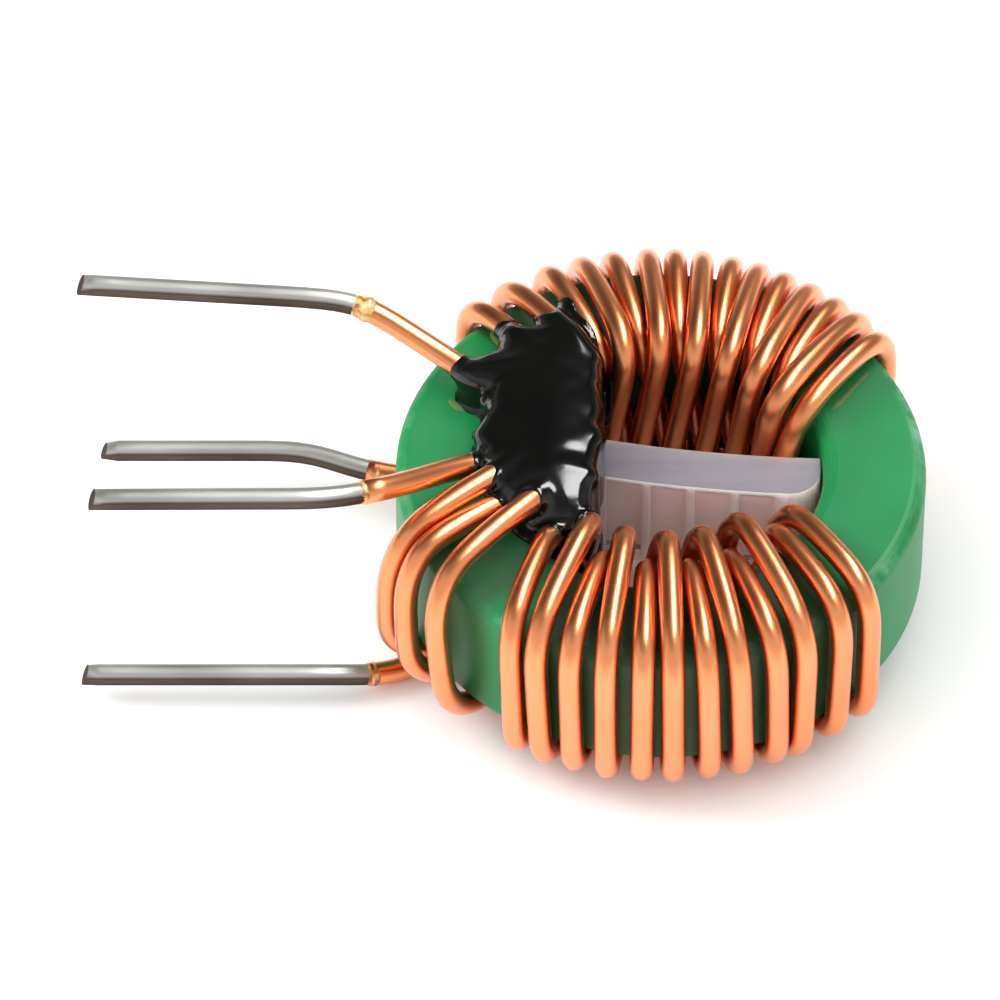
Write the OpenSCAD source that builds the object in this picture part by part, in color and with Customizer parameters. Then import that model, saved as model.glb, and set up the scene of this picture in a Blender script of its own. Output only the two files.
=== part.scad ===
// Toroidal inductor of the common-mode kind: two windings of enamelled copper
// wire on an epoxy coated ferrite ring, a separator plate across the hole and
// black glue at the lead side. Millimetres. The ring's axis is Z, the four
// tinned leads point to -X, and the lowest wires touch the plane z = 0.

/* [Core] */
// Outside diameter over the coat
core_d = 22.2; // [22:0.1:23]
// Diameter of the hole
hole_d = 13.6; // [13.5:0.1:14]
// Height of the ring
core_h = 6.4; // [6.2:0.1:7]
// Rounding of the ring's edges
core_edge = 0.6; // [0.5:0.05:0.8]

/* [Wire] */
// Wire diameter over the enamel
wire_d = 1; // [0.88:0.01:1]
// Diameter of the tinned leads
lead_d = 0.9; // [0.7:0.01:0.92]
// Sides of the wire's section
wire_sides = 8; // [6:2:10]
// Steps round each bend of the wire
bend_steps = 3; // [2:1:5]

/* [Separator] */
// Thickness of the plate
plate_t = 2.05; // [1.8:0.05:2.1]
// Height of the plate
plate_h = 5; // [4:0.1:5.4]
// Depth of the panels sunk into its faces
panel_depth = 0.3; // [0.2:0.05:0.5]
// Distance between the panels
panel_pitch = 1.85; // [1.8:0.05:2]

/* [Glue] */
// Top of the upper glue above the ring's middle
glue_top = 5.6; // [5.6:0.1:5.8]
// Gap kept between the glue and what it surrounds
glue_gap = 0.04; // [0.03:0.01:0.06]

/* [Hidden] */

core_r = core_d / 2;
hole_r = hole_d / 2;
half_h = core_h / 2;
wire_r = wire_d / 2;

// The wire lies against the ring at these radii and heights: outside, on the
// hole's wall, one layer further in, and flat on the top and the bottom.
outer_r = core_r + wire_r + 0.2;
wall_r = hole_r - wire_r - 0.15;
ride_r = wall_r - 1.12;
flat_z = half_h + wire_r + 0.03;
// How far a wire rises over its neighbours at the hole's edge.
rise_wall = 0.3;
rise_top = 1.16;
rise_bottom = 1;
// How far the wire arches over the ring's outer edges: on top of the back and
// of the front winding, and underneath.
arch_back = 0.22;
arch_front = 0.4;
arch_foot = 0.25;
// Length a bend takes off each side of its corner.
bend_back = 1.6;
bend_front = 1.9;
bend_foot = 1.6;
bend_in = 1.2;
bend_ride = 1.5;
bend_lead = 1.2;
tin_x = -12.4;

// Where each turn crosses the outside and the hole's wall, in degrees from the
// side's own middle towards +X, in the order of the turns from the leads.
// The back winding's side is +Y, the front winding's is -Y.
back_out = [-43.5, -34.5, -24.5, -17, -10, -2.5, 3.5, 9.5, 16, 22, 28, 34.5, 41, 47.5, 54.5];
back_in = [-46, -34, -23.5, -15.5, -7.5, 0, 7.5, 15, 22.5, 30, 37.5, 45, 53, 61, 71.5];
front_out = [-64.5, -59.5, -51, -32.6, -26.9, -19.4, -11.9, -4.3, 1.6, 8.5, 15, 22.9, 29.8, 38.6, 46.2];
front_foot = [-66, -57.5, -46.5, -31, -25, -18.3, -11.4, -4.2, 2.3, 9.8, 16.6, 24, 29.3, 37.8, 46.2];
front_in = [-75.5, -66.5, -56.5, -47, -31, -23, -15, -6.5, 2, 9.5, 17, 25, 34, 46, 58];
// The front winding's first three turns are loose: inner feet, slack, bends.
front_foot_in = [-71, -61];
front_slack = [0.76, 0.66, 0.5];
front_bend = [2.2, 2.2, 2.1];

// Leads: [tip, corner where the straight part ends, further points to the hole].
back_start = [[-24.56, 6.9, 6.65], [-13.9, 6.4, 6.3], [-12.3, 6.2, 6.05], [-8.7, 4.45, 4.5]];
back_end = [[-23.9, 6.6, -3.4], [-15, 6.6, -3.4], [-12.4, 5.45, -3.5], [-9.5, 5.2, -3.8]];
front_start = [[-23.7, -5.4, 6.8], [-13.6, -5.35, 6.8], [-10.8, -3.6, 5.7], [-9.3, -2.2, 4.9],
               [-7.3, -0.85, 4.12]];
front_end = [[-24.36, -5.4, -4.2], [-13.6, -5.4, -4.2], [-11.2, -4.8, -4.92], [-8.5, -2.9, -4.9]];
lead_bend_room = 0.7;
lead_lap = 0.4;

function part(list, k, other) = k < len(list) ? list[k] : other;
function unit(v) = v / norm(v);
function around(r, a, z, side) = [r * sin(a), side * r * cos(a), z];

// Side, outer tops, outer feet, inner tops, inner feet, slack, bends, first
// turn, start lead and its angle, end lead, its angle and its height, arch.
n_turns = len(back_out);
all_turns = [0 : n_turns - 1];
back = [1, back_out, back_out, back_in, back_in,
        [for (k = all_turns) 0], [for (k = all_turns) bend_back],
        0, back_start, -70, back_end, -62, -flat_z, arch_back];
front = [-1, front_out, front_foot, front_in, [for (k = all_turns) part(front_foot_in, k, front_in[k])],
         [for (k = all_turns) part(front_slack, k, 0)],
         [for (k = all_turns) part(front_bend, k, bend_front)],
         1, front_start, -83, front_end, -86.5, -flat_z - 1.1, arch_front];

// The wire visits every second turn on the way out, then fills the gaps on the
// way back, riding on the wires already there.
function visits(w) = concat([for (k = [w[7] : 2 : n_turns - 1]) k],
                            [for (k = [n_turns - 1 : -1 : 0]) if (k % 2 != w[7]) k]);
function rides(w, k) = k % 2 != w[7] && k != n_turns - 1;

// Where the line from a to b, seen from above, meets the circle of radius r.
function meets(a, b, r) =
    let (d = [b.x - a.x, b.y - a.y],
         q = d * d,
         h = a.x * d.x + a.y * d.y,
         t = (-h - sqrt(h * h - q * (a.x * a.x + a.y * a.y - r * r))) / q)
    [a.x + t * d.x, a.y + t * d.y];

// Corner at the hole's edge for a wire that comes from the outer corner o.
function inner_corner(o, q, riding, rise, rise_low) =
    let (m = meets(o, q, ride_r))
    riding ? [m.x, m.y, q.z + rise] : [q.x, q.y, q.z + rise_low];

function top_corner(w, k, riding) =
    let (s = w[0],
         o = around(outer_r + w[5][k], w[1][k], flat_z + w[13], s),
         q = around(wall_r, w[3][k], flat_z, s))
    inner_corner(o, q, riding, rise_top, rise_wall);

function foot_corner(w, k, rise) =
    let (s = w[0],
         o = around(outer_r + w[5][k], w[2][k], -flat_z - arch_foot, s),
         q = around(wall_r, w[4][k], -flat_z, s))
    inner_corner(o, q, rides(w, k), -rise, 0);

// Corners of one turn, each with the length of its bend. The turn where the
// winding turns back dives from the wall into the inner layer.
function turn_corners(w, i) =
    let (seq = visits(w),
         k = seq[i],
         last = i == len(seq) - 1,
         riding = k != n_turns - 1 && (last || rides(w, seq[i + 1])),
         rise = last && w[7] == 1 ? 0 : rise_bottom,
         r = outer_r + w[5][k],
         turn = [[foot_corner(w, k, rise), rides(w, k) ? bend_ride : bend_in],
                 [around(r, w[2][k], -flat_z - arch_foot, w[0]), w[5][k] > 0 ? w[6][k] : bend_foot],
                 [around(r, w[1][k], flat_z + w[13], w[0]), w[6][k]],
                 [top_corner(w, k, riding), riding ? bend_ride : bend_in]])
    k == n_turns - 1
        ? concat(turn, [[around(ride_r - 0.05, w[3][k] + 1.5, -0.4, w[0]), 0.8]])
        : turn;

// Points of a lead's bent part, from inside its straight part to the ring.
function lead_dir(lead) = unit(lead[0] - lead[1]);
function lead_base(lead) = lead[1] + lead_bend_room * lead_dir(lead);
function lead_corners(lead) =
    concat([lead_base(lead) + lead_lap * lead_dir(lead)],
           [for (i = [1 : len(lead) - 1]) lead[i]]);
function backwards(list) = [for (i = [len(list) - 1 : -1 : 0]) list[i]];

function corners(w) = concat(
    [for (p = lead_corners(w[8])) [p, bend_lead]],
    [[around(wall_r, w[9], flat_z + 0.25, w[0]), bend_in]],
    [for (i = all_turns) for (c = turn_corners(w, i)) c],
    [[around(ride_r, w[11], w[12], w[0]), bend_in]],
    [for (p = backwards(lead_corners(w[10]))) [p, bend_lead]]);

// A corner p between a and b becomes a cubic curve that takes off length l.
function bend(a, p, b, l) =
    let (pa = p + unit(a - p) * min(l, 0.49 * norm(a - p)),
         pb = p + unit(b - p) * min(l, 0.49 * norm(b - p)),
         ca = pa + 0.55 * (p - pa),
         cb = pb + 0.55 * (p - pb))
    [for (j = [0 : bend_steps])
        let (t = j / bend_steps, u = 1 - t)
        u * u * u * pa + 3 * u * u * t * ca + 3 * u * t * t * cb + t * t * t * pb];

function wire_path(c) = concat(
    [c[0][0]],
    [for (i = [1 : len(c) - 2]) for (p = bend(c[i - 1][0], c[i][0], c[i + 1][0], c[i][1])) p],
    [c[len(c) - 1][0]]);

// Lowest point of all wires, and the move that puts the whole part on z = 0
// with the middle of its bounding box over the origin.
section_r = 1.02 * wire_r;
back_path = wire_path(corners(back));
front_path = wire_path(corners(front));
lowest = min([for (p = concat(back_path, front_path)) p.z]) - section_r;
leftmost = min(back_start[0].x, back_end[0].x, front_start[0].x, front_end[0].x);
place = [-(leftmost + core_r) / 2, 0, -lowest];

function tangent(p, i) =
    let (a = i == 0 ? p[0] : p[i - 1], b = i == len(p) - 1 ? p[i] : p[i + 1])
    i == 0 || i == len(p) - 1 ? unit(b - a) : unit(unit(p[i] - a) + unit(b - p[i]));

// One ring of the wire's section, with a corner towards the ring core.
function section(p, i, r, n) =
    let (t = tangent(p, i),
         e = unit([p[i].y, -p[i].x, 0]),
         u = unit(e - (e * t) * t),
         v = cross(t, u))
    [for (j = [0 : n - 1])
        let (a = 360 * j / n)
        p[i] + r * cos(a) * u + r * sin(a) * v];

module sweep(p, r_wire, r_lead, n) {
    m = len(p);
    points = [for (i = [0 : m - 1])
        for (q = section(p, i, p[i].x < tin_x ? r_lead : r_wire, n)) q];
    sides = [for (i = [0 : m - 2]) for (j = [0 : n - 1])
        let (a = i * n + j, b = i * n + (j + 1) % n)
        for (f = [[a, a + n, b + n], [a, b + n, b]]) f];
    ends = [[for (j = [0 : n - 1]) j], [for (j = [n - 1 : -1 : 0]) (m - 1) * n + j]];
    polyhedron(points, concat(sides, ends), convexity = 10);
}

module straight_lead(lead) {
    v = lead[0] - lead_base(lead);
    translate(lead_base(lead))
        rotate([0, acos(v.z / norm(v)), atan2(v.y, v.x)])
            cylinder(h = norm(v), d = lead_d, $fn = 32);
}

module winding(w, path) {
    color([0.85, 0.45, 0.2])
        translate(place) {
            sweep(path, section_r, 0.99 * lead_d / 2, wire_sides);
            straight_lead(w[8]);
            straight_lead(w[10]);
        }
}

module front_winding() {
    winding(front, front_path);
}

module back_winding() {
    winding(back, back_path);
}

// The ring's section, grown by g.
module core_section(g) {
    translate([(core_r + hole_r) / 2, 0])
        offset(r = core_edge + g, $fn = 20)
            square([core_r - hole_r - 2 * core_edge, core_h - 2 * core_edge], center = true);
}

module coated_core() {
    color([0.2, 0.6, 0.35])
        translate(place)
            rotate_extrude($fn = 96)
                core_section(0);
}

// Plan of the separator: a shallow arc, square at the far corner and rounded
// at the near one.
plate_bow = 53.6;
plate_x = 8.4;
plate_y = -0.27;
plate_from = -3.6;
plate_to = hole_r - 0.12;
plate_round = 1.3;
function plate_line(x, off) =
    plate_y + plate_bow - sqrt((plate_bow - off) * (plate_bow - off) - (x - plate_x) * (x - plate_x));

module plate_plan(g) {
    h = plate_t / 2 + g;
    near = [for (i = [0 : 8]) let (x = plate_from - g + (plate_to - plate_round - plate_from) * i / 8)
        [x, plate_line(x, -h)]];
    far = [for (i = [8 : -1 : 0]) let (x = plate_from - g + (plate_to + 2 * g - plate_from) * i / 8)
        [x, plate_line(x, h)]];
    c = [plate_to - plate_round, plate_line(plate_to - plate_round, -h) + plate_round];
    corner = [for (a = [-75 : 15 : 0]) c + (plate_round + g) * [cos(a), sin(a)]];
    polygon(concat(near, corner, far));
}

// Panels sunk into one face, with a narrow rib between two of them.
rib = 0.35;
module panels(face) {
    for (i = [0 : 3]) {
        x = panel_pitch * (i - 0.83);
        translate([x, plate_line(x, face * plate_t / 2), 0.2])
            rotate([0, 0, asin((x - plate_x) / plate_bow)])
                cube([panel_pitch - rib, 2 * panel_depth, plate_h - 1], center = true);
    }
}

module separator() {
    color([0.75, 0.7, 0.78])
        translate(place)
            difference() {
                translate([0, 0, -plate_h / 2])
                    linear_extrude(height = plate_h)
                        plate_plan(0);
                panels(1);
                panels(-1);
            }
}

// Glue is laid as a chain of pads. Each one is [x, y, radius, height of its
// top under the highest one].
top_chain = [[-4, 7.7, 0.5, 0.5], [-4.3, 5.9, 1.1, 0.1], [-4.6, 4.1, 2, 0], [-4.8, 2, 2.3, 0],
             [-5, -0.1, 2.6, 0], [-4.7, -2.3, 2, 0], [-3.9, -3.9, 0.95, 0.1]];
top_arms = [[-7.6, 3.6, 1, 0], [-6.2, 6, 0.6, 0.3]];
bottom_chain = [[-4.6, 5.6, 1.2, 0.3], [-4.7, 4.2, 1.8, 0], [-4.8, 2.4, 2.2, 0], [-4.9, 0.6, 2.4, 0],
                [-4.8, -1.2, 2.2, 0], [-4.6, -2.8, 1.7, 0.1], [-4.4, -4.2, 1.1, 0.3]];
bottom_arms = [[-7.6, 3.6, 0.7, 0.3], [-7.5, -1.8, 0.7, 0.3]];
glue_inner = 0.9;
shoulder = 0.35;
wires_inside = 4.25;
bends_over = 1.35;
tunnel_r = section_r + 0.08;
rider_top = flat_z + 1;

// One pad, from inside the hole to its rounded shoulder.
module pad(p, top) {
    h = top - p[3] - glue_inner;
    translate([p[0], p[1], glue_inner]) {
        cylinder(r = p[2], h = h - shoulder, $fn = 16);
        cylinder(r = max(0.1, p[2] - shoulder), h = h, $fn = 16);
    }
}

module glue_blob(chain, arms, top) {
    for (i = [0 : len(chain) - 2])
        hull() {
            pad(chain[i], top);
            pad(chain[i + 1], top);
        }
    for (arm = arms)
        hull() {
            pad(arm, top);
            pad(chain[2], top);
        }
}

// Room for the ring, for the wires inside the hole, and for the plate.
module around_glue() {
    translate([0, 0, -glue_gap])
        rotate_extrude($fn = 64)
            core_section(glue_gap);
    difference() {
        translate([0, 0, -half_h])
            cylinder(r = hole_r + 0.2, h = core_h + bends_over, $fn = 64);
        cylinder(r = wires_inside, h = 3 * core_h, center = true, $fn = 40);
    }
    translate([0, 0, -plate_h / 2 - 1])
        linear_extrude(height = plate_h + 1 + glue_gap)
            plate_plan(glue_gap);
}

// Room for one straight run of wire from a to b that lies on the ring. The
// wire stays under the height top, because its bends are round.
module tunnel(a, b, top = 9) {
    hull()
        for (p = [a, b])
            translate([p.x, p.y, half_h - 1])
                cylinder(r = tunnel_r, h = min(abs(p.z), top) + tunnel_r - half_h + 1, $fn = 8);
}

module top_tunnels(w, lead) {
    seq = visits(w);
    for (i = all_turns)
        if (seq[i] < 5) {
            turn = turn_corners(w, i);
            tunnel(turn[2][0], turn[3][0], rider_top);
        }
    n = len(lead);
    tunnel(lead[n - 1], around(wall_r, w[9], flat_z + 0.25, w[0]));
    tunnel(lead[n - 2], lead[n - 1]);
}

module foot_tunnels(w, lead) {
    seq = visits(w);
    for (i = all_turns)
        if (seq[i] < 5) {
            turn = turn_corners(w, i);
            tunnel(turn[0][0], turn[1][0]);
        }
    tunnel(lead[len(lead) - 1], around(ride_r, w[11], w[12], w[0]));
}

module top_glue() {
    color([0.1, 0.1, 0.1])
        translate(place)
            difference() {
                glue_blob(top_chain, top_arms, glue_top);
                around_glue();
                top_tunnels(back, back_start);
                top_tunnels(front, front_start);
            }
}

module bottom_glue() {
    color([0.1, 0.1, 0.1])
        translate(place)
            mirror([0, 0, 1])
                difference() {
                    glue_blob(bottom_chain, bottom_arms, -lowest - 0.15);
                    around_glue();
                    foot_tunnels(back, back_end);
                    foot_tunnels(front, front_end);
                }
}

coated_core();
front_winding();
back_winding();
separator();
top_glue();
bottom_glue();
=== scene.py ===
"""The looks of the toroidal inductor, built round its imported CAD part.

Lengths inside the build functions are in millimetres, in the ring's own frame: its centre at mid height
is the origin, Z is its axis and the leads point to -X. place() turns them into the frame's metres.
Shader nodes and everything from the floor on are in the frame's metres.
"""

import math

import bpy
import numpy as np
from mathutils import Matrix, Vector


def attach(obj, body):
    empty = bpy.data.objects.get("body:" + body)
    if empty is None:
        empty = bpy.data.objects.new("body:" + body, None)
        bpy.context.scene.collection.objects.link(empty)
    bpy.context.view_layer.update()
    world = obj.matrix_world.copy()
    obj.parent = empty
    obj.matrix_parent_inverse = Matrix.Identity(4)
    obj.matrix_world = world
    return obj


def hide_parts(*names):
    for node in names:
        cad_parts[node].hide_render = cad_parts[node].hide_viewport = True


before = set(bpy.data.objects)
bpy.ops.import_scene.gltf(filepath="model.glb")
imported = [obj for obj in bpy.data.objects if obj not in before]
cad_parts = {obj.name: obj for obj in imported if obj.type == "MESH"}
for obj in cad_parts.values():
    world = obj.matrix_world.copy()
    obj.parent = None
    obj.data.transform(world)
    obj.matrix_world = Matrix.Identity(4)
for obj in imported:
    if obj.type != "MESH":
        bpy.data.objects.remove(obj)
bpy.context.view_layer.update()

MM = 0.001

# ---------------------------------------------------------------- sizes, the same as in the CAD source (mm)
CORE_R, HOLE_R, HALF_H, CORE_EDGE = 11.1, 6.8, 3.2, 0.6
WIRE_R, LEAD_R = 0.5, 0.45
# Half the width over the corners of the source's eight-sided wire.
SECTION_R = 1.02 * WIRE_R
# Where the wire's middle lies: outside the ring, on the hole's wall, one layer further in, and on the top.
OUTER_R = CORE_R + WIRE_R + 0.2
WALL_R = HOLE_R - WIRE_R - 0.15
RIDE_R = WALL_R - 1.12
FLAT_Z = HALF_H + WIRE_R + 0.03
# How far a wire rises at the hole's edge: on its wall, riding on top and riding underneath.
RISE_WALL, RISE_TOP, RISE_BOTTOM = 0.3, 1.16, 1.0
# How far it arches over the ring's lower outer edge.
ARCH_FOOT = 0.25
# Length that a bend takes off each side of its corner.
BEND_FOOT, BEND_IN, BEND_RIDE, BEND_LEAD = 1.6, 1.2, 1.5, 1.2
# A lead goes into the hole this far above the flat top.
ENTRY_RISE = 0.25
# Where a winding turns back it dives from the wall into the inner layer: inwards, degrees on, height, bend.
DIVE_IN, DIVE_ON, DIVE_Z, BEND_DIVE = 0.05, 1.5, -0.4, 0.8
# The tin ends and the enamel begins here.
TIN_X = -12.4
N_TURNS = 15
# Each corner becomes a cubic curve: its greatest share of a straight piece, and its pull to the corner.
LONGEST_BEND, CORNER_PULL = 0.49, 0.55
# Steps round each bend in the source.
SOURCE_STEPS = 3

# ---------------------------------------------------------------- sizes that only the looks have (mm)
# The springy wire stands off the ring's flat top by this much more at mid run, with this bend.
ARCH_TOP, BEND_TOP = 0.35, 1.4
SMOOTH_STEPS = 9
# Springy wire eases its bends over this length. Its points are this far apart.
EASING, SPACING = 0.55, 0.16
WIRE_SIDES, BEAD_SIDES, COLLAR_SIDES = 20, 12, 24
BEAD_RINGS, COLLAR_RINGS = 28, 13
# The tin reaches this many points under the enamel.
TIN_LAP = 6

# Each winding lies on one side, +Y or -Y. Its angles are degrees from that side's middle towards +X, in the
# order of the turns from the leads: out and inn at the ring's outside and hole on top, foot and foot_in
# underneath where they differ. The wire lays turn `first` first, and arches over the ring's upper outer edge
# with a bend. Loose turns stand off by their slack and have bends of their own, which are wider than in the
# source. The leads' points run from the tip to the hole, which they reach at start_deg and end_deg.
BACK = dict(
    side=1, first=0, arch=0.22, bend=1.6,
    out=[-43.5, -34.5, -24.5, -17, -10, -2.5, 3.5, 9.5, 16, 22, 28, 34.5, 41, 47.5, 54.5],
    inn=[-46, -34, -23.5, -15.5, -7.5, 0, 7.5, 15, 22.5, 30, 37.5, 45, 53, 61, 71.5],
    foot=[], foot_in=[], slack=[], bends=[],
    start=[(-24.56, 6.9, 6.65), (-13.9, 6.4, 6.3), (-12.3, 6.2, 6.05), (-8.7, 4.45, 4.5)],
    start_deg=-70,
    end=[(-23.9, 6.6, -3.4), (-15, 6.6, -3.4), (-12.4, 5.45, -3.5), (-9.5, 5.2, -3.8)],
    end_deg=-62, end_z=-FLAT_Z)
FRONT = dict(
    side=-1, first=1, arch=0.4, bend=1.9,
    out=[-64.5, -59.5, -51, -32.6, -26.9, -19.4, -11.9, -4.3, 1.6, 8.5, 15, 22.9, 29.8, 38.6, 46.2],
    inn=[-75.5, -66.5, -56.5, -47, -31, -23, -15, -6.5, 2, 9.5, 17, 25, 34, 46, 58],
    foot=[-66, -57.5, -46.5, -31, -25, -18.3, -11.4, -4.2, 2.3, 9.8, 16.6, 24, 29.3, 37.8, 46.2],
    foot_in=[-71, -61], slack=[0.76, 0.66, 0.5], bends=[3.0, 2.9, 2.6],
    start=[(-23.7, -5.4, 6.8), (-13.6, -5.35, 6.8), (-10.8, -3.6, 5.7), (-9.3, -2.2, 4.9),
           (-7.3, -0.85, 4.12)],
    start_deg=-83,
    end=[(-24.36, -5.4, -4.2), (-13.6, -5.4, -4.2), (-11.2, -4.8, -4.92), (-8.5, -2.9, -4.9)],
    end_deg=-86.5, end_z=-FLAT_Z - 1.1)
WINDINGS = {"back_winding": BACK, "front_winding": FRONT}


# ---------------------------------------------------------------- the wire's course
def around(r, deg, z, side):
    a = math.radians(deg)
    return np.array([r * math.sin(a), side * r * math.cos(a), z])


def part(values, k, other):
    """Value k of a list that may stop before it, or else the other value."""
    return values[k] if k < len(values) else other


def visits(w):
    """The order of the turns: every second one on the way out, then the gaps on the way back."""
    first = list(range(w["first"], N_TURNS, 2))
    return first + [k for k in range(N_TURNS - 1, -1, -1) if k not in first]


def rides(w, k):
    """Whether turn k rides on the wires already there."""
    return k % 2 != w["first"] and k != N_TURNS - 1


def inner_corner(outer, inner, riding, rise, rise_low):
    """The corner at the hole's edge: on its wall, or where the run towards it meets the inner layer."""
    if not riding:
        return inner + np.array([0, 0, rise_low])
    run = (inner - outer)[:2]
    a = run @ run
    h = outer[:2] @ run
    t = (-h - math.sqrt(h * h - a * (outer[:2] @ outer[:2] - RIDE_R ** 2))) / a
    return np.array([outer[0] + t * run[0], outer[1] + t * run[1], inner[2] + rise])


def turn_corners(w, k, top_rides, is_last):
    """Corners of one turn with bend lengths, from its inner foot to its inner top, which may ride."""
    side, slack = w["side"], part(w["slack"], k, 0)
    radius, bend = OUTER_R + slack, part(w["bends"], k, w["bend"])
    # The foot of the front winding's last turn isn't raised.
    rise = 0 if is_last and w["first"] == 1 else RISE_BOTTOM
    low = around(radius, part(w["foot"], k, w["out"][k]), -FLAT_Z - ARCH_FOOT, side)
    high = around(radius, w["out"][k], FLAT_Z + w["arch"], side)
    low_in = around(WALL_R, part(w["foot_in"], k, w["inn"][k]), -FLAT_Z, side)
    high_in = around(WALL_R, w["inn"][k], FLAT_Z, side)
    foot_in = inner_corner(low, low_in, rides(w, k), -rise, 0)
    top_in = inner_corner(high, high_in, top_rides, RISE_TOP, RISE_WALL)
    turn = [(foot_in, BEND_RIDE if rides(w, k) else BEND_IN),
            (low, bend if slack else BEND_FOOT),
            (high, bend),
            ((high + top_in) / 2 + np.array([0, 0, ARCH_TOP]), BEND_TOP),
            (top_in, BEND_RIDE if top_rides else BEND_IN)]
    if k == N_TURNS - 1:
        turn.append((around(RIDE_R - DIVE_IN, w["inn"][k] + DIVE_ON, DIVE_Z, side), BEND_DIVE))
    return turn


def corners(w):
    """The wire's corners from one lead to the other, with the length of each bend."""
    order = visits(w)
    found = [(np.array(p, float), BEND_LEAD) for p in w["start"]]
    found.append((around(WALL_R, w["start_deg"], FLAT_Z + ENTRY_RISE, w["side"]), BEND_IN))
    for i, k in enumerate(order):
        is_last = i == len(order) - 1
        top_rides = k != N_TURNS - 1 and (is_last or rides(w, order[i + 1]))
        found += turn_corners(w, k, top_rides, is_last)
    found.append((around(RIDE_R, w["end_deg"], w["end_z"], w["side"]), BEND_IN))
    return found + [(np.array(p, float), BEND_LEAD) for p in reversed(w["end"])]


def course(w, steps):
    """Points along the wire: each corner becomes a cubic curve."""
    c = corners(w)
    pts = [c[0][0]]
    for (a, _), (p, bend), (b, _) in zip(c, c[1:], c[2:]):
        ua, ub = (a - p) / np.linalg.norm(a - p), (b - p) / np.linalg.norm(b - p)
        pa = p + ua * min(bend, LONGEST_BEND * np.linalg.norm(a - p))
        pb = p + ub * min(bend, LONGEST_BEND * np.linalg.norm(b - p))
        ca, cb = pa + CORNER_PULL * (p - pa), pb + CORNER_PULL * (p - pb)
        for t in np.linspace(0, 1, steps + 1):
            u = 1 - t
            pts.append(u ** 3 * pa + 3 * u * u * t * ca + 3 * u * t * t * cb + t ** 3 * pb)
    pts.append(c[-1][0])
    return np.array(pts)


def lengths(points):
    """How far along a line each of its points is."""
    return np.concatenate([[0], np.cumsum(np.linalg.norm(np.diff(points, axis=0), axis=1))])


def sampled(points, at, wanted):
    """The line at the wanted places, where `at` says the places of its own points."""
    return np.stack([np.interp(wanted, at, points[:, i]) for i in range(points.shape[1])], 1)


def softened(path):
    """The course at even spacing, with its bends eased as a springy wire eases them."""
    at = lengths(path)
    pts = sampled(path, at, np.linspace(0, at[-1], int(at[-1] / SPACING)))
    n = int(3 * EASING / SPACING)
    weight = np.exp(-0.5 * (np.arange(-n, n + 1) * SPACING / EASING) ** 2)
    padded = np.vstack([2 * pts[0] - pts[n:0:-1], pts, 2 * pts[-1] - pts[-2:-n - 2:-1]])
    return np.stack([np.convolve(padded[:, i], weight / weight.sum(), "valid") for i in range(3)], 1)


LINES = {name: softened(course(w, SMOOTH_STEPS)) for name, w in WINDINGS.items()}
# The part's place in the frame: the source's lowest wire on z = 0, the middle of its length over x = 0.
LOWEST = min(min(p[2] for p in course(w, SOURCE_STEPS)) for w in WINDINGS.values()) - SECTION_R
LEFTMOST = min(w[k][0][0] for w in WINDINGS.values() for k in ("start", "end"))
PLACE = np.array([-(LEFTMOST + CORE_R) / 2, 0, -LOWEST])


def place(points):
    return (np.asarray(points, float) + PLACE) * MM


# ---------------------------------------------------------------- mesh helpers
def mesh_object(name, points, faces, material):
    """A piece from points in the ring's frame. It is smooth, but for the flat ends of tubes."""
    mesh = bpy.data.meshes.new(name)
    mesh.from_pydata(place(points).tolist(), [], [tuple(f) for f in faces])
    mesh.validate()
    for poly in mesh.polygons:
        is_end = len(poly.vertices) > 4
        poly.use_smooth = not is_end
    mesh.materials.append(material)
    obj = bpy.data.objects.new(name, mesh)
    bpy.context.scene.collection.objects.link(obj)
    return obj


def tube(path, radius, sides):
    """Rings of a round wire along a path, as (ring, side, xyz). radius is one number or one a point."""
    path = np.asarray(path)
    n = len(path)
    radius = np.broadcast_to(radius, (n,))
    step = np.diff(path, axis=0)
    step /= np.linalg.norm(step, axis=1)[:, None]
    along = np.vstack([step[:1], step[:-1] + step[1:], step[-1:]])
    along /= np.linalg.norm(along, axis=1)[:, None]
    round_ring = np.stack([path[:, 1], -path[:, 0], np.zeros(n)], 1)
    u = round_ring - (round_ring * along).sum(1)[:, None] * along
    u /= np.linalg.norm(u, axis=1)[:, None]
    v = np.cross(along, u)
    a = np.arange(sides) * 2 * math.pi / sides
    return path[:, None] + radius[:, None, None] * (
        np.cos(a)[None, :, None] * u[:, None] + np.sin(a)[None, :, None] * v[:, None])


def tube_faces(n_rings, sides, offset=0):
    faces = []
    for i in range(n_rings - 1):
        for j in range(sides):
            a, b = offset + i * sides + j, offset + i * sides + (j + 1) % sides
            faces.append((a, b, b + sides, a + sides))
    faces.append([offset + j for j in range(sides)][::-1])
    faces.append([offset + (n_rings - 1) * sides + j for j in range(sides)])
    return faces


# ---------------------------------------------------------------- shader helpers
# Each works in a node tree, of a material or of the world, and gives the output of what it makes.
def new_material(name, constants):
    """A material with one shader, whose constants are set by the names of its sockets."""
    mat = bpy.data.materials.new(name)
    mat.use_nodes = True
    tree = mat.node_tree
    tree.nodes.clear()
    out = tree.nodes.new("ShaderNodeOutputMaterial")
    shader = tree.nodes.new("ShaderNodeBsdfPrincipled")
    tree.links.new(shader.outputs["BSDF"], out.inputs["Surface"])
    for socket, value in constants.items():
        shader.inputs[socket].default_value = value
    return mat, tree, shader


def object_place(tree):
    return tree.nodes.new("ShaderNodeTexCoord").outputs["Object"]


def split_up(tree, vector):
    """The outputs X, Y and Z of a vector."""
    node = tree.nodes.new("ShaderNodeSeparateXYZ")
    tree.links.new(vector, node.inputs["Vector"])
    return node.outputs


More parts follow.
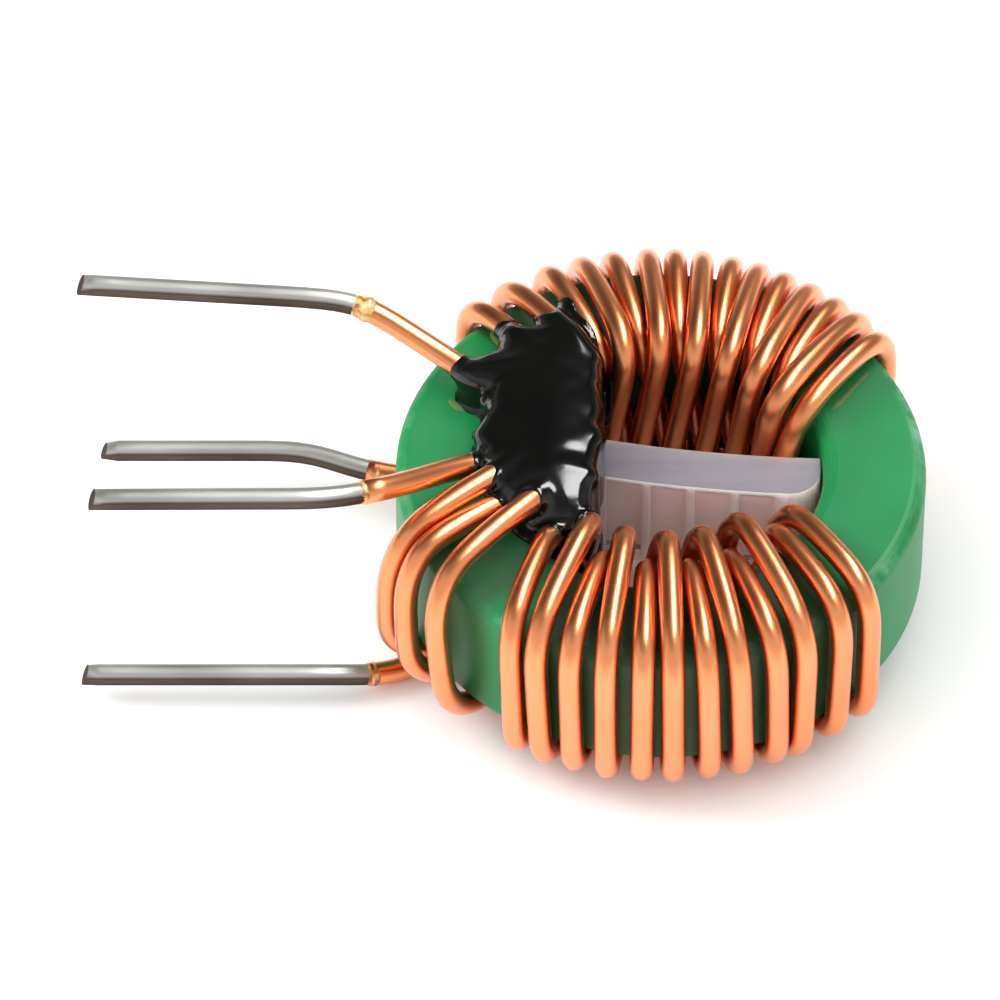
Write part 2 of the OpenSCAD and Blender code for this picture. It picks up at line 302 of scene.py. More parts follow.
def noise(tree, scale, detail, stretch=None):
    """Noise with features of about 1 / scale metres, longer where stretch is below 1."""
    tex = tree.nodes.new("ShaderNodeTexNoise")
    tex.inputs["Scale"].default_value = scale
    tex.inputs["Detail"].default_value = detail
    source = object_place(tree)
    if stretch:
        mapping = tree.nodes.new("ShaderNodeMapping")
        mapping.inputs["Scale"].default_value = stretch
        tree.links.new(source, mapping.inputs["Vector"])
        source = mapping.outputs["Vector"]
    tree.links.new(source, tex.inputs["Vector"])
    return tex.outputs["Fac"]


def ramp(tree, fac, stops):
    """Colours or greys over a factor: [(position, colour), ...]."""
    node = tree.nodes.new("ShaderNodeValToRGB")
    elements = node.color_ramp.elements
    while len(elements) < len(stops):
        elements.new(0.5)
    for element, (position, colour) in zip(elements, stops):
        element.position = position
        is_grey = isinstance(colour, (int, float))
        element.color = (colour, colour, colour, 1) if is_grey else (*colour, 1)
    tree.links.new(fac, node.inputs["Fac"])
    return node.outputs["Color"]


def two_tone(tree, fac, low, high):
    """Two colours or greys that mingle over the middle of a noise."""
    return ramp(tree, fac, [(0.3, low), (0.7, high)])


def mixed(tree, fac, a, b):
    """Colour output a where fac is 0 and b where it is 1."""
    node = tree.nodes.new("ShaderNodeMix")
    node.data_type = "RGBA"
    tree.links.new(fac, node.inputs["Factor"])
    tree.links.new(a, node.inputs["A"])
    tree.links.new(b, node.inputs["B"])
    return node.outputs["Result"]


def span(tree, value, low, high, kind="LINEAR"):
    """0 up to low, 1 from high on, and between them in between."""
    node = tree.nodes.new("ShaderNodeMapRange")
    node.interpolation_type = kind
    node.inputs["From Min"].default_value = low
    node.inputs["From Max"].default_value = high
    tree.links.new(value, node.inputs["Value"])
    return node.outputs["Result"]


def step_up(tree, value, at, width):
    """0 below at and 1 above it, over a soft width."""
    return span(tree, value, at - width / 2, at + width / 2, "SMOOTHSTEP")


def worked_out(tree, operation, a, b=0):
    """Arithmetic on outputs or numbers."""
    node = tree.nodes.new("ShaderNodeMath")
    node.operation = operation
    for value, socket in ((a, node.inputs[0]), (b, node.inputs[1])):
        if isinstance(value, (int, float)):
            socket.default_value = value
        else:
            tree.links.new(value, socket)
    return node.outputs[0]


def bump(tree, shader, height, strength, distance):
    node = tree.nodes.new("ShaderNodeBump")
    node.inputs["Strength"].default_value = strength
    node.inputs["Distance"].default_value = distance
    tree.links.new(height, node.inputs["Height"])
    tree.links.new(node.outputs["Normal"], shader.inputs["Normal"])


def facing_up(tree, low, high):
    """0 on undersides to 1 on tops, from the height part of the surface's direction."""
    normal = tree.nodes.new("ShaderNodeNewGeometry").outputs["Normal"]
    return span(tree, split_up(tree, normal)["Z"], low, high)


# ---------------------------------------------------------------- materials
# Where painted shade darkens the ring under and between the wires: from and to in degrees round it, how
# much, and over how many radians it fades at its end.
BACK_PAINTED_SHADE = [(-46, 55.5, 1, 0.04)]
FRONT_PAINTED_SHADE = [(-66, -41, 0.7, 0.12), (-30.5, 46.5, 1, 0.04)]
# It fades over this many radians at its start.
PAINTED_SHADE_START_FADE = 0.04
# The back winding's half of the ring goes over into the front one's over this width (m).
HALVES_WIDTH = 0.001
# Pale scuffs, which also paint a soft highlight on the rim, are centred on an outer edge's rounding: how far
# up it they begin, and how softly (m).
SCUFF_AND_SHEEN_START, SCUFF_AND_SHEEN_WIDTH = 0.00014, 0.0002


def copper_material():
    mat, tree, shader = new_material(
        "enamelled_copper", {"Metallic": 1, "Coat Weight": 0.5, "Coat Roughness": 0.18})
    base = two_tone(tree, noise(tree, 220, 2), (0.87, 0.29, 0.109), (0.92, 0.335, 0.136))
    rough = two_tone(tree, noise(tree, 300, 1), 0.31, 0.35)
    tree.links.new(base, shader.inputs["Base Color"])
    tree.links.new(rough, shader.inputs["Roughness"])
    return mat


def tin_material():
    """Solder-dipped wire: grey on top, with painted shade in brown on its underside."""
    mat, tree, shader = new_material(
        "tinned_copper", {"Metallic": 0.8, "Specular Tint": (0.30, 0.26, 0.24, 1)})
    tone = noise(tree, 900, 3, (0.25, 1, 1))
    grey = two_tone(tree, tone, (0.44, 0.43, 0.40), (0.56, 0.55, 0.52))
    # Painted shade: the undersides get a dark brown colour.
    painted_shade_brown = two_tone(tree, tone, (0.06, 0.042, 0.033), (0.12, 0.09, 0.07))
    tree.links.new(mixed(tree, facing_up(tree, 0.45, 0.7), painted_shade_brown, grey), shader.inputs["Base Color"])
    tree.links.new(ramp(tree, tone, [(0.2, 0.30), (0.8, 0.42)]), shader.inputs["Roughness"])
    bump(tree, shader, noise(tree, 700, 2, (0.3, 1, 1)), 0.15, 0.00004)
    return mat


def painted_shade_under_windings(tree, x, y):
    """Painted shade: 1 where wire covers the ring closely, less under the loose turns, and 0 elsewhere."""
    angle = worked_out(tree, "ARCTAN2", x, worked_out(tree, "ABSOLUTE", y))
    back = step_up(tree, y, 0, HALVES_WIDTH)
    front = worked_out(tree, "SUBTRACT", 1, back)
    total = 0
    for side, stretches in ((back, BACK_PAINTED_SHADE), (front, FRONT_PAINTED_SHADE)):
        for first, last, strength, end_fade in stretches:
            on = step_up(tree, angle, math.radians(first), PAINTED_SHADE_START_FADE)
            off = step_up(tree, angle, math.radians(last), end_fade)
            cover = worked_out(tree, "MULTIPLY", worked_out(tree, "SUBTRACT", on, off), strength)
            total = worked_out(tree, "ADD", total, worked_out(tree, "MULTIPLY", cover, side))
    return total


def on_outer_edges(tree, x, y, z):
    """1 on the crests of the ring's two rounded outer edges and 0 on its flat sides."""
    squares = worked_out(tree, "ADD", worked_out(tree, "MULTIPLY", x, x), worked_out(tree, "MULTIPLY", y, y))
    radius = worked_out(tree, "SQRT", squares)
    reach = worked_out(tree, "ADD", radius, worked_out(tree, "ABSOLUTE", z))
    flat_reach = (CORE_R + HALF_H - CORE_EDGE) * MM
    return step_up(tree, reach, flat_reach + SCUFF_AND_SHEEN_START, SCUFF_AND_SHEEN_WIDTH)


def core_material():
    """Green epoxy, darkened by painted shade between the close turns, with pale scuffs along its outer edges
    that also paint the rim's soft highlight.
    """
    mat, tree, shader = new_material("green_epoxy", {"Specular IOR Level": 0.3})
    at = split_up(tree, object_place(tree))
    x = worked_out(tree, "SUBTRACT", at["X"], PLACE[0] * MM)
    z = worked_out(tree, "SUBTRACT", at["Z"], PLACE[2] * MM)
    tone = noise(tree, 180, 4)
    green = two_tone(tree, tone, (0.005, 0.188, 0.051), (0.010, 0.238, 0.069))
    # Painted shade: this darker green goes where the wires lie close over the ring.
    dark = two_tone(tree, tone, (0.016, 0.055, 0.02), (0.026, 0.085, 0.03))
    # Pale scuffs on the edges' crests, partly a painted highlight on the rounded rim.
    pale_scuff_and_sheen = two_tone(tree, tone, (0.13, 0.38, 0.21), (0.20, 0.46, 0.29))
    edge = on_outer_edges(tree, x, at["Y"], z)
    scratches = ramp(tree, noise(tree, 900, 6), [(0.42, 0), (0.66, 0.9)])
    worn_stretches = ramp(tree, noise(tree, 130, 1), [(0.4, 0.2), (0.6, 1)])
    scuffs_and_sheen = worked_out(tree, "MULTIPLY", worked_out(tree, "MULTIPLY", edge, scratches), worn_stretches)
    coat = mixed(tree, scuffs_and_sheen, green, pale_scuff_and_sheen)
    tree.links.new(mixed(tree, painted_shade_under_windings(tree, x, at["Y"]), coat, dark), shader.inputs["Base Color"])
    tree.links.new(ramp(tree, edge, [(0, 0.42), (1, 0.62)]), shader.inputs["Roughness"])
    bump(tree, shader, noise(tree, 350, 3), 0.12, 0.00003)
    return mat


def separator_material():
    """Milky nylon: light passes into its faces. Painted light and shade: its well-lit flat top gets a
    darker, greyer colour, its shaded faces a lighter one.
    """
    mat, tree, shader = new_material(
        "clear_nylon", {"Roughness": 0.3, "Subsurface Weight": 1.0, "Subsurface Scale": 0.003,
                        "Subsurface Radius": (1.0, 0.7, 0.7)})
    tone = noise(tree, 1400, 2, (0.04, 1, 0.15))
    # Painted light: the top, which catches the light, gets a dark colour, and the faces in shade get a light
    # one.
    top = two_tone(tree, tone, (0.235, 0.215, 0.25), (0.30, 0.275, 0.31))
    face_with_painted_light = two_tone(tree, tone, (0.72, 0.64, 0.64), (0.80, 0.72, 0.72))
    tree.links.new(mixed(tree, facing_up(tree, 0.4, 0.9), face_with_painted_light, top), shader.inputs["Base Color"])
    return mat


def mottled_material(name, scale, detail, stops, constants):
    """A material whose colour is a ramp over one noise."""
    mat, tree, shader = new_material(name, constants)
    tree.links.new(ramp(tree, noise(tree, scale, detail), stops), shader.inputs["Base Color"])
    return mat


COPPER, TIN, GREEN, NYLON = copper_material(), tin_material(), core_material(), separator_material()
EPOXY = mottled_material(
    "black_epoxy", 400, 3, [(0.3, (0.002, 0.002, 0.0018)), (0.7, (0.004, 0.004, 0.0035))],
    {"Roughness": 0.14})
PAPER = mottled_material(
    "paper", 20, 2, [(0.3, (0.93, 0.925, 0.92)), (0.7, (0.95, 0.945, 0.94))], {"Roughness": 0.9})
RESIN = mottled_material(
    "amber_enamel", 3000, 3,
    [(0.35, (0.30, 0.09, 0.02)), (0.5, (0.72, 0.38, 0.11)), (0.65, (0.85, 0.60, 0.30))],
    {"Roughness": 0.3, "Coat Weight": 0.5})
SCORCH = mottled_material(
    "scorched_enamel", 3000, 3, [(0.35, (0.08, 0.025, 0.008)), (0.65, (0.62, 0.25, 0.07))],
    {"Roughness": 0.35, "Coat Weight": 0.5})
# Varnish that has run out on to the ring has dried dull.
VARNISH = mottled_material(
    "olive_varnish", 3000, 3, [(0.3, (0.07, 0.17, 0.045)), (0.7, (0.15, 0.19, 0.05))],
    {"Roughness": 0.6, "Specular IOR Level": 0.2})


# ---------------------------------------------------------------- wires
# A lead's cut end: how much it is pinched, and how far it lies back in the middle and by its slant.
TIP_PINCH, TIP_BACK, TIP_SLANT = 0.25, 0.2, 0.35
# Points of a wire are kept where it turns by this sine of an angle, or this far apart (mm).
LEAST_TURN, LONGEST_STEP = 0.03, 0.8
# An unevenness is the sum of this many waves, whose joint height is about this, each at any phase.
WOBBLE_WAVES, WOBBLE_HEIGHT, WOBBLE_PHASE = 5, 3.2, 6.28


def add_piece(obj, node):
    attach(obj, "root")
    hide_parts(node)


def wobble(x, y, z, scale, seed):
    """A smooth, repeatable unevenness between about -1 and 1, with waves about six times scale long."""
    rng = np.random.default_rng(seed)
    total = 0
    for _ in range(WOBBLE_WAVES):
        v = rng.normal(size=3) / scale
        total = total + np.sin(x * v[0] + y * v[1] + z * v[2] + rng.uniform(0, WOBBLE_PHASE))
    return total / WOBBLE_HEIGHT


def thinned(path):
    """Fewer points where the wire is straight."""
    keep, last = [0], 0
    for i in range(1, len(path) - 1):
        a, b = path[i] - path[last], path[i + 1] - path[i]
        turn = np.linalg.norm(np.cross(a, b)) / (np.linalg.norm(a) * np.linalg.norm(b))
        if turn > LEAST_TURN or np.linalg.norm(a) > LONGEST_STEP:
            keep.append(i)
            last = i
    return path[keep + [len(path) - 1]]


def clipped(ring, inwards, seed):
    """The end of a lead as side cutters leave it: a slanted, slightly pinched face."""
    inwards = inwards / np.linalg.norm(inwards)
    off = ring - ring.mean(0)
    angle = np.random.default_rng(seed).uniform(0, math.pi)
    pinch = np.array([0, math.cos(angle), math.sin(angle)])
    pinched = ring - TIP_PINCH * (off @ pinch)[:, None] * pinch
    return pinched + (TIP_BACK + TIP_SLANT * off[:, 2:]) * inwards


def add_winding(name):
    """The enamelled wire, and its two tinned ends as one piece."""
    path = LINES[name]
    tinned = path[:, 0] < TIN_X
    start = int(np.argmin(tinned))
    end = len(path) - int(np.argmin(tinned[::-1]))
    copper = thinned(path[start:end])
    wire = mesh_object(name + "_wire", tube(copper, WIRE_R, WIRE_SIDES).reshape(-1, 3),
                       tube_faces(len(copper), WIRE_SIDES), COPPER)
    add_piece(wire, name)
    rings, faces = [], []
    for lead in (path[:start + TIN_LAP], path[end - TIN_LAP:][::-1]):
        lead = thinned(lead)
        own = tube(lead, LEAD_R, WIRE_SIDES)
        own[0] = clipped(own[0], lead[1] - lead[0], len(rings))
        faces += tube_faces(len(lead), WIRE_SIDES, len(rings) * WIRE_SIDES)
        rings += list(own)
    leads = mesh_object(name + "_leads", np.array(rings).reshape(-1, 3), faces, TIN)
    add_piece(leads, name)


# Collars of scorched enamel where the tin begins, each on a winding's first or last lead: from x to x,
# greatest radius (mm), material and seed.
COLLARS = {
    "scorch_back_top": ("back_winding", "first", -12.95, -11.8, 0.64, RESIN, 1),
    "scorch_back_bottom": ("back_winding", "last", -12.35, -11.6, 0.52, RESIN, 2),
    "scorch_front_top": ("front_winding", "first", -12.75, -12.2, 0.51, RESIN, 3),
    "scorch_front_bottom": ("front_winding", "last", -12.5, -11.7, 0.54, SCORCH, 4),
}
# How blunt a collar is, how much its size varies and the size of its lumps (mm). Two waves run along it:
# their depth and their length in radians.
COLLAR_POWER, COLLAR_UNEVEN, COLLAR_LUMP = 0.8, 0.35, 1 / 1.5
COLLAR_DIP, COLLAR_WAVES = 0.25, 12.6
# Thin lines of varnish on the ring's top, beside the back winding: points in plan, radius (mm) and seed.
BEADS = {
    "varnish_last_turn": ([(7.2, 2.9), (7.75, 3.65), (8.3, 4.4), (8.85, 5.15)], 0.14, 5),
    "varnish_lead": ([(-8.9, 3.5), (-8.5, 3.1), (-8.0, 2.9)], 0.16, 6),
    "varnish_first_turn": ([(-7.1, 7.4), (-6.9, 7.0), (-6.6, 6.5)], 0.16, 7),
}
# A line of varnish has this height for its width. How blunt it is, how much its width varies, the size of
# its lumps, and its radius at its ends (mm).
BEAD_FLATNESS, BEAD_POWER, BEAD_UNEVEN, BEAD_LUMP, BEAD_THINNEST = 0.35, 0.4, 0.4, 0.35, 0.02
# What lies on a surface is sunk into it by this much.
SINK = 0.02


def swelling(count, power):
    """Sizes that rise from 0 at one end to 1 in the middle and fall again, blunter with a lower power."""
    return np.sin(np.linspace(0, math.pi, count)) ** power


def add_collar(name, winding, lead, x_from, x_to, radius, material, seed):
    line = LINES[winding] if lead == "first" else LINES[winding][::-1]
    first = int(np.argmax(line[:, 0] > x_from))
    last = int(np.argmax(line[:, 0] > x_to))
    path = sampled(line, np.arange(len(line)), np.linspace(first, last, COLLAR_RINGS))
    waves = 1 - COLLAR_DIP + COLLAR_DIP * np.cos(np.linspace(0, COLLAR_WAVES, COLLAR_RINGS))
    swell = swelling(COLLAR_RINGS, COLLAR_POWER) * waves
    rings = tube(path, 1.0, COLLAR_SIDES)
    uneven = 1 + COLLAR_UNEVEN * wobble(*np.moveaxis(rings, 2, 0), COLLAR_LUMP, seed)
    size = LEAD_R - SINK + (radius - LEAD_R) * swell[:, None] * uneven
    rings = path[:, None] + (rings - path[:, None]) * size[..., None]
    collar = mesh_object(name, rings.reshape(-1, 3), tube_faces(COLLAR_RINGS, COLLAR_SIDES), material)
    add_piece(collar, winding)


def add_bead(name, points, radius, seed):
    points = np.array(points, float)
    flat = sampled(points, np.arange(len(points)), np.linspace(0, len(points) - 1, BEAD_RINGS))
    path = np.column_stack([flat, np.full(BEAD_RINGS, HALF_H - SINK)])
    uneven = 1 + BEAD_UNEVEN * wobble(*path.T, BEAD_LUMP, seed)
    rings = tube(path, BEAD_THINNEST + radius * swelling(BEAD_RINGS, BEAD_POWER) * uneven, BEAD_SIDES)
    rings[..., 2] = path[0, 2] + BEAD_FLATNESS * (rings[..., 2] - path[0, 2])
    bead = mesh_object(name, rings.reshape(-1, 3), tube_faces(BEAD_RINGS, BEAD_SIDES), VARNISH)
    add_piece(bead, "back_winding")


# ---------------------------------------------------------------- glue
# The crown of the lower drop is this far above the table (mm).
LOWER_CROWN = 0.15
# Each drop is a field of numbers, below 0 inside it, on a grid. The lower drop is built upside down and
# then turned over, so its heights are measured downwards. A chain of pads (x, y, radius) is joined in plan.
# An arm is a pad and the number of the chain's pad that it joins. Drips are (x, y, z, radius).
TOP_GLUE = dict(
    is_below=False, top=5.5, seed=3,
    chain=[(-4, 7.7, 0.5), (-4.3, 5.9, 1.1), (-4.6, 4.1, 2), (-4.8, 2, 2.3), (-5, -0.1, 2.6),
           (-4.7, -2.3, 2), (-3.9, -3.9, 0.95)],
    arms=[((-7.6, 3.6, 0.8), 2), ((-6.2, 6, 0.6), 2), ((-4.9, -3.6, 0.75), 5)],
    drips=[(-7.15, 2.3, 4.35, 0.45), (-7.6, 0.75, 3.95, 0.32), (-7.3, 0.25, 4.2, 0.28),
           (-7.7, 0.1, 3.8, 0.24), (-7.0, -0.5, 4.35, 0.3)])
BOTTOM_GLUE = dict(
    is_below=True, top=-LOWEST - LOWER_CROWN, seed=8,
    chain=[(-4.6, 5.6, 1.2), (-4.7, 4.2, 1.8), (-4.8, 2.4, 2.2), (-4.9, 0.6, 2.4), (-4.8, -1.2, 2.2),
           (-4.6, -2.8, 1.7), (-4.4, -4.2, 1.1)],
    arms=[((-7.6, 3.6, 0.7), 2), ((-7.5, -1.8, 0.7), 2)],
    drips=[])
# The grid: its spacing, its corners in plan, and how far past a drop's inner and outer side it reaches.
GLUE_STEP = 0.09
GRID_LOW, GRID_HIGH, GRID_MARGIN_IN, GRID_MARGIN_OUT = (-9.6, -6.0), (-1.4, 9.2), 0.5, 0.6
# Both drops reach in to this height above or below the ring's middle.
GLUE_INNER = 0.9
# Fillets between pads and round drips.
PAD_BLEND, DRIP_BLEND = 0.5, 0.12
# Unevenness of the outline, in big and small waves, and of the top: its height and its scale.
OUTLINE_WAVES, OUTLINE_RIPPLES, CROWN_WAVES = (0.12, 0.9), (0.05, 0.3), (0.06, 2.4)
# Glue spreads over the ring's top by the skirt, which thins out upwards.
SKIRT, SKIRT_HEIGHT = 0.22, 0.25
# The drop's top falls towards its outline, over this width.
DOME_FALL, DOME_WIDTH = 0.35, 2.5
# Rounding of its outer and inner edges.
SHOULDER_R, FOOT_R = 0.6, 0.4
# The upper drop is highest at this y. It falls over the front wires, and more gently towards its far end.
CREST_Y, FRONT_FALL, FRONT_RUN, BACK_SLOPE, END_Y, END_SLOPE = -2.2, 0.4, 1.4, 0.02, 5.8, 0.3
# A film of this thickness climbs the wires, this far from the drop, with this fillet.
FILM, FILM_REACH, FILM_BLEND = 0.07, 0.4, 0.35
# Distances to wires are only worked out up to this, from points this far apart.
WIRE_REACH, WIRE_SPACING = 1.3, 0.12
# The glue is sunk into the ring's coat, and stays clear of the table.
RING_SINK, TABLE_GAP = 0.06, 0.03
CUBE = [(i, j, k) for i in (0, 1) for j in (0, 1) for k in (0, 1)]


def smooth_min(a, b, k):
    """The lesser of two fields, with a fillet where they meet."""
    h = np.clip(0.5 + 0.5 * (b - a) / k, 0, 1)
    return b * (1 - h) + a * h - k * h * (1 - h)


def rounded_max(a, b, radius):
    """What is inside both fields, with their shared edge rounded."""
    a, b = a + radius, b + radius
    return np.hypot(np.maximum(a, 0), np.maximum(b, 0)) + np.minimum(np.maximum(a, b), 0) - radius


def capsule(x, y, p, q):
    """Distance in plan to a strip from pad p to pad q, each (x, y, radius)."""
    dx, dy = q[0] - p[0], q[1] - p[1]
    t = np.clip(((x - p[0]) * dx + (y - p[1]) * dy) / (dx * dx + dy * dy), 0, 1)
    return np.hypot(x - p[0] - t * dx, y - p[1] - t * dy) - (p[2] + t * (q[2] - p[2]))


def top_sag(y):
    """How far the upper drop falls over the front wires, and from its crest to its far end."""
    over_wires = FRONT_FALL * np.clip((CREST_Y - y) / FRONT_RUN, 0, 1.5) ** 2
    far_end = END_SLOPE * np.clip(y - END_Y, 0, 2)
    return over_wires + BACK_SLOPE * np.maximum(y - CREST_Y, 0) + far_end


def glue_plan(glue, x, y):
    """Distance in plan to the drop's joined pads."""
    chain = glue["chain"]
    strips = list(zip(chain, chain[1:])) + [(pad, chain[joined]) for pad, joined in glue["arms"]]
    flat = capsule(x, y, *strips[0])
    for strip in strips[1:]:
        flat = smooth_min(flat, capsule(x, y, *strip), PAD_BLEND)
    return flat


def glue_body(glue, x, y, z):
    """The drop before it meets wires: an uneven outline, a skirt on the ring, a domed top, rounded edges."""
    seed = glue["seed"]
    wave, wave_size = OUTLINE_WAVES
    ripple, ripple_size = OUTLINE_RIPPLES
    crown_wave, crown_wave_size = CROWN_WAVES
    flat = glue_plan(glue, x, y)
    flat = flat + wave * wobble(x, y, 0, wave_size, seed) + ripple * wobble(x, y, z, ripple_size, seed + 2)
    skirt = SKIRT * np.exp(-np.maximum(z - HALF_H, 0) / SKIRT_HEIGHT)
    flat = flat - np.where(np.hypot(x, y) > HOLE_R, skirt, 0)
    dome = DOME_FALL * np.clip(1 + flat / DOME_WIDTH, 0, 1) ** 2
    crown = glue["top"] + crown_wave * wobble(x, y, 0, crown_wave_size, seed + 1) - dome
    if not glue["is_below"]:
        crown = crown - top_sag(y)
    return np.maximum(rounded_max(flat, z - crown, SHOULDER_R), rounded_max(flat, GLUE_INNER - z, FOOT_R))


def near_wires(shape, origin, paths):
    """Distance from each grid point to the nearest wire's middle, up to WIRE_REACH."""
    dist = np.full(shape, WIRE_REACH)
    far_corner = origin + np.array(shape) * GLUE_STEP
    for path in paths:
        at = lengths(path)
        dense = sampled(path, at, np.arange(0, at[-1], WIRE_SPACING))
        is_near = ((dense > origin - WIRE_REACH) & (dense < far_corner + WIRE_REACH)).all(1)
        for p in dense[is_near]:
            lo = np.maximum(((p - WIRE_REACH - origin) / GLUE_STEP).astype(int), 0)
            hi = np.minimum(((p + WIRE_REACH - origin) / GLUE_STEP).astype(int) + 2, shape)
            if (hi <= lo).any():
                continue
            sq = [(origin[i] + np.arange(lo[i], hi[i]) * GLUE_STEP - p[i]) ** 2 for i in range(3)]
            away = np.sqrt(sq[0][:, None, None] + sq[1][None, :, None] + sq[2][None, None, :])
            block = dist[lo[0]:hi[0], lo[1]:hi[1], lo[2]:hi[2]]
            np.minimum(block, away, out=block)
    return dist


def cell_points(field, cells):
    """In each cell, the mean of the places where the surface crosses its edges."""
    total, hits = np.zeros((len(cells), 3)), np.zeros(len(cells))
    corner = [np.array(c) for c in CUBE]
    value = [field[tuple((cells + c).T)] for c in corner]
    for m, a in enumerate(corner):
        for n, b in enumerate(corner):
            if m < n and abs(a - b).sum() == 1:
                cross = (value[m] < 0) != (value[n] < 0)
                t = value[m] / np.where(cross, value[m] - value[n], 1)
                total += np.where(cross[:, None], a + t[:, None] * (b - a), 0)
                hits += cross
    return cells + total / hits[:, None]


def surface_quads(inside, number):
    """A quad round each grid edge that the surface crosses, from the numbers of the cells that share it."""
    quads = []
    for axis in range(3):
        u, v = [k for k in range(3) if k != axis]
        du, dv = np.eye(3, dtype=int)[u], np.eye(3, dtype=int)[v]
        lo = tuple(slice(0, n - 1) if k == axis else slice(1, n - 1) for k, n in enumerate(inside.shape))
        hi = tuple(slice(1, n) if k == axis else slice(1, n - 1) for k, n in enumerate(inside.shape))
        start = np.array([0 if k == axis else 1 for k in range(3)])
        for leaves in (True, False):
            edge = np.argwhere((inside[lo] == leaves) & (inside[hi] != leaves)) + start
            sharing = [edge - du - dv, edge - dv, edge, edge - du]
            quad = np.stack([number[tuple(cell.T)] for cell in sharing], 1)
            quads.append(quad if leaves == (axis != 1) else quad[:, ::-1])
    return np.vstack(quads)


def surface(field, origin):
    """Points and quads of the field's zero surface: one point in each cell that the surface crosses."""
    inside = field < 0
    nx, ny, nz = np.array(field.shape) - 1
    count = sum(inside[i:i + nx, j:j + ny, k:k + nz].astype(int) for i, j, k in CUBE)
    cells = np.argwhere((count > 0) & (count < len(CUBE)))
    number = -np.ones(count.shape, int)
    number[tuple(cells.T)] = np.arange(len(cells))
    return cell_points(field, cells) * GLUE_STEP + origin, surface_quads(inside, number)


def glue_drop(name, glue):
    """A drop with a film that climbs the wires it meets, cut to the ring and the table."""
    low = np.array([*GRID_LOW, GLUE_INNER - GRID_MARGIN_IN])
    high = np.array([*GRID_HIGH, glue["top"] + GRID_MARGIN_OUT])
    shape = tuple(((high - low) / GLUE_STEP).astype(int) + 1)
    x, y, z = np.meshgrid(*[low[i] + np.arange(shape[i]) * GLUE_STEP for i in range(3)], indexing="ij")
    turn_over = [1, 1, -1] if glue["is_below"] else [1, 1, 1]
    body = glue_body(glue, x, y, z)
    wires = near_wires(shape, low, [line * turn_over for line in LINES.values()])
    body = smooth_min(body, np.maximum(wires - WIRE_R - FILM, body - FILM_REACH), FILM_BLEND)
    for dx, dy, dz, radius in glue["drips"]:
        drip = np.sqrt((x - dx) ** 2 + (y - dy) ** 2 + (z - dz) ** 2) - radius
        body = smooth_min(body, drip, DRIP_BLEND)
    from_axis = np.hypot(x, y)
    ring = np.maximum(np.maximum(HOLE_R - from_axis, from_axis - CORE_R), z - HALF_H)
    body = np.maximum(body, -ring - RING_SINK)
    if glue["is_below"]:
        body = np.maximum(body, z + LOWEST + TABLE_GAP)
    points, quads = surface(body, low)
    if glue["is_below"]:
        quads = quads[:, ::-1]
    add_piece(mesh_object(name + "_drop", points * turn_over, quads, EPOXY), name)


def paint(node, material):
    """Gives a CAD solid that stays its material."""
    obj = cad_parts[node]
    obj.data.materials.clear()
    obj.data.materials.append(material)


for winding_name in WINDINGS:
    add_winding(winding_name)
for collar_name, collar in COLLARS.items():
    add_collar(collar_name, *collar)
for bead_name, bead in BEADS.items():
    add_bead(bead_name, *bead)
paint("coated_core", GREEN)
paint("separator", NYLON)
glue_drop("top_glue", TOP_GLUE)
glue_drop("bottom_glue", BOTTOM_GLUE)


# ---------------------------------------------------------------- floor, light, camera (m)
# The room's brightness at rising heights of view, in front of the table and behind it.
SKY_FRONT = [(0.0, 0.8), (0.35, 0.9), (0.6, 0.8), (0.75, 0.25), (1.0, 0.3)]
SKY_BACK = [(0.0, 0.3), (0.3, 0.25), (0.5, 0.06), (0.85, 0.06), (1.0, 0.15)]
SKY_BLEND = 0.25
FLOOR_HALF = 3.0
CAMERA_ELEVATION, CAMERA_DISTANCE, CAMERA_LENS = 48.0, 0.364, 312.0
# The camera looks this far above the ring's middle (mm).
AIM_ABOVE = 0.773


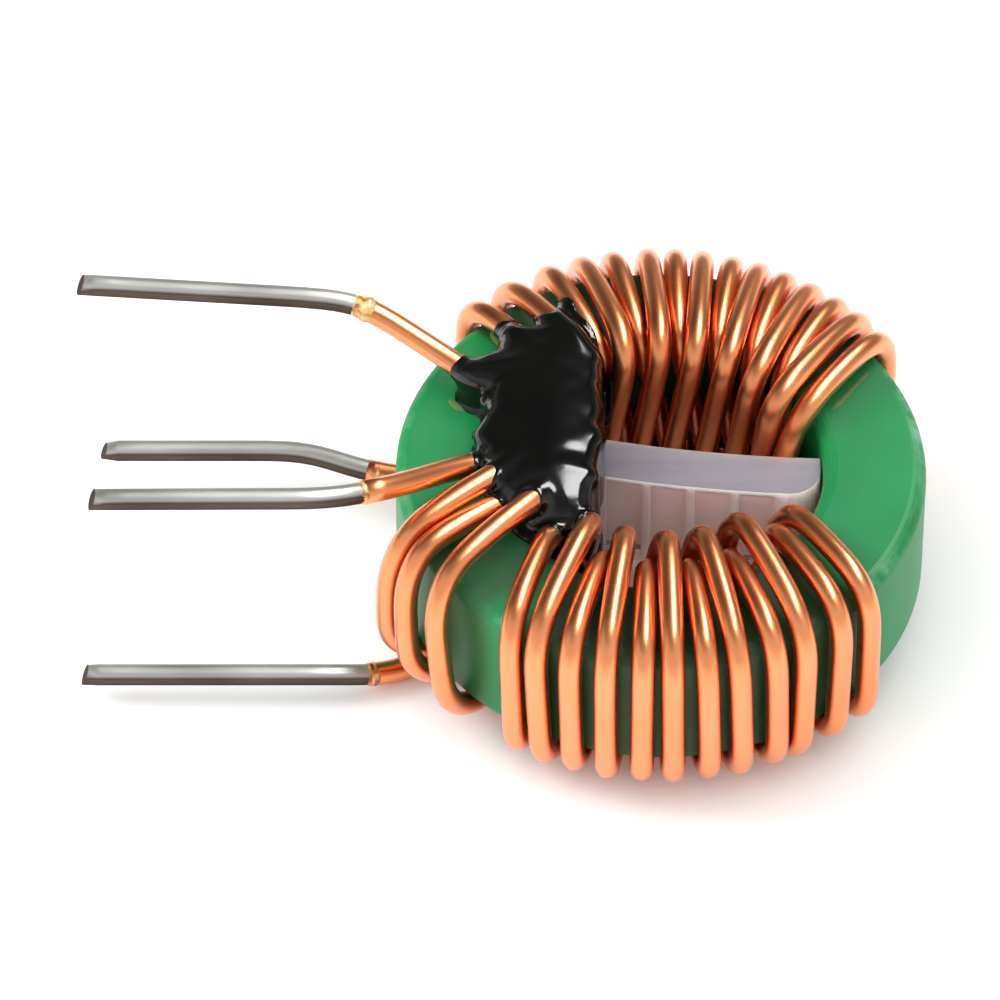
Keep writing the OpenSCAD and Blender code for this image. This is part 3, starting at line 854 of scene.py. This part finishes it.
def add_floor():
    mesh = bpy.data.meshes.new("floor")
    h = FLOOR_HALF
    mesh.from_pydata([(-h, -h, 0), (h, -h, 0), (h, h, 0), (-h, h, 0)], [], [(0, 1, 2, 3)])
    mesh.materials.append(PAPER)
    floor = bpy.data.objects.new("floor", mesh)
    bpy.context.scene.collection.objects.link(floor)


def add_area(name, where, target, size, power, glossy=True, diffuse=True):
    data = bpy.data.lights.new(name, "AREA")
    data.shape = "RECTANGLE"
    data.size, data.size_y = size
    data.energy = power
    obj = bpy.data.objects.new(name, data)
    obj.location = where
    obj.rotation_euler = (Vector(target) - Vector(where)).to_track_quat("-Z", "Y").to_euler()
    obj.visible_glossy, obj.visible_diffuse = glossy, diffuse
    bpy.context.scene.collection.objects.link(obj)


def add_world():
    world = bpy.data.worlds.new("studio")
    world.use_nodes = True
    tree = world.node_tree
    view = split_up(tree, tree.nodes.new("ShaderNodeTexCoord").outputs["Generated"])
    behind = span(tree, view["Y"], -SKY_BLEND, SKY_BLEND)
    sky = mixed(tree, behind, ramp(tree, view["Z"], SKY_FRONT), ramp(tree, view["Z"], SKY_BACK))
    tree.links.new(sky, tree.nodes["Background"].inputs["Color"])
    bpy.context.scene.world = world


def add_camera(target):
    """Straight in front of the part, from above."""
    data = bpy.data.cameras.new("camera")
    data.lens = CAMERA_LENS
    data.sensor_width = 36
    data.clip_start, data.clip_end = 0.01, 20
    obj = bpy.data.objects.new("camera", data)
    e = math.radians(CAMERA_ELEVATION)
    away = Vector((0, -math.cos(e), math.sin(e)))
    obj.location = Vector(target) + away * CAMERA_DISTANCE
    obj.rotation_euler = (-away).to_track_quat("-Z", "Y").to_euler()
    bpy.context.scene.collection.objects.link(obj)
    bpy.context.scene.camera = obj


add_floor()
add_world()
# The strip shows only as a highlight. The other two light surfaces, and don't show in them.
add_area("strip_right", (0.25, 0.125, 0.6), (0.25, 0.125, 0), (0.18, 0.65), 6.6, diffuse=False)
add_area("key", (-0.8, 0.18, 0.55), (0, 0, 0), (0.5, 0.5), 6.8, glossy=False)
add_area("fill", (0, 0, 1.0), (0, 0, 0), (2.4, 2.4), 28.0, glossy=False)
add_camera((0, 0, (PLACE[2] + AIM_ABOVE) * MM))
bpy.context.scene.view_settings.view_transform = "Standard"
